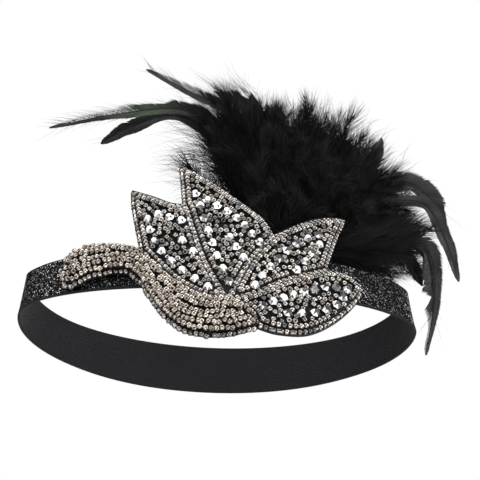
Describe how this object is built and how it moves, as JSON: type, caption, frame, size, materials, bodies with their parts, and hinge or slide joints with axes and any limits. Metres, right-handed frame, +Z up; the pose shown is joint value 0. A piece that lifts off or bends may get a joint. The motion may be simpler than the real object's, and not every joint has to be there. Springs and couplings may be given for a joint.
{
  "type": "flapper feather headband",
  "caption": "Stretch ribbon headband with a beaded bird-shaped spray on felt at the front and a plume of black fluff and long cock feathers behind it.",
  "frame": {"origin": "middle of the head opening, halfway up the ribbon", "axes": "+Z up as worn, -Y to the front, +X along the object's longest reach, from feather tip to feather tip"},
  "size_m": [0.2278, 0.1435, 0.1713],
  "materials": {
    "ribbon": "black glitter elastic outside, fine charcoal ribs inside",
    "felt": "matt black felt",
    "seed_beads": "pewter and warm silver metal-lined seed and bugle beads",
    "cut_stones": "silver-grey faceted stones with a mirror coat",
    "fluff": "matt black down",
    "feathers": "black feather with a soft sheen, faintly green"
  },
  "bodies": {
    "root": {"elastic_band": "ribbon", "felt_backing": "felt", "beaded_neck": "seed_beads", "beaded_leaf_left": "cut_stones", "beaded_leaf_tall": "cut_stones", "beaded_leaf_right": "cut_stones", "beaded_leaf_low": "cut_stones", "fluff_plume": "fluff", "coque_feather_1": "feathers", "coque_feather_2": "feathers", "coque_feather_3": "feathers", "coque_feather_4": "feathers", "coque_feather_5": "feathers", "coque_feather_6": "feathers", "coque_feather_7": "feathers", "coque_feather_8": "feathers", "coque_feather_9": "feathers"}
  },
  "joints": []
}
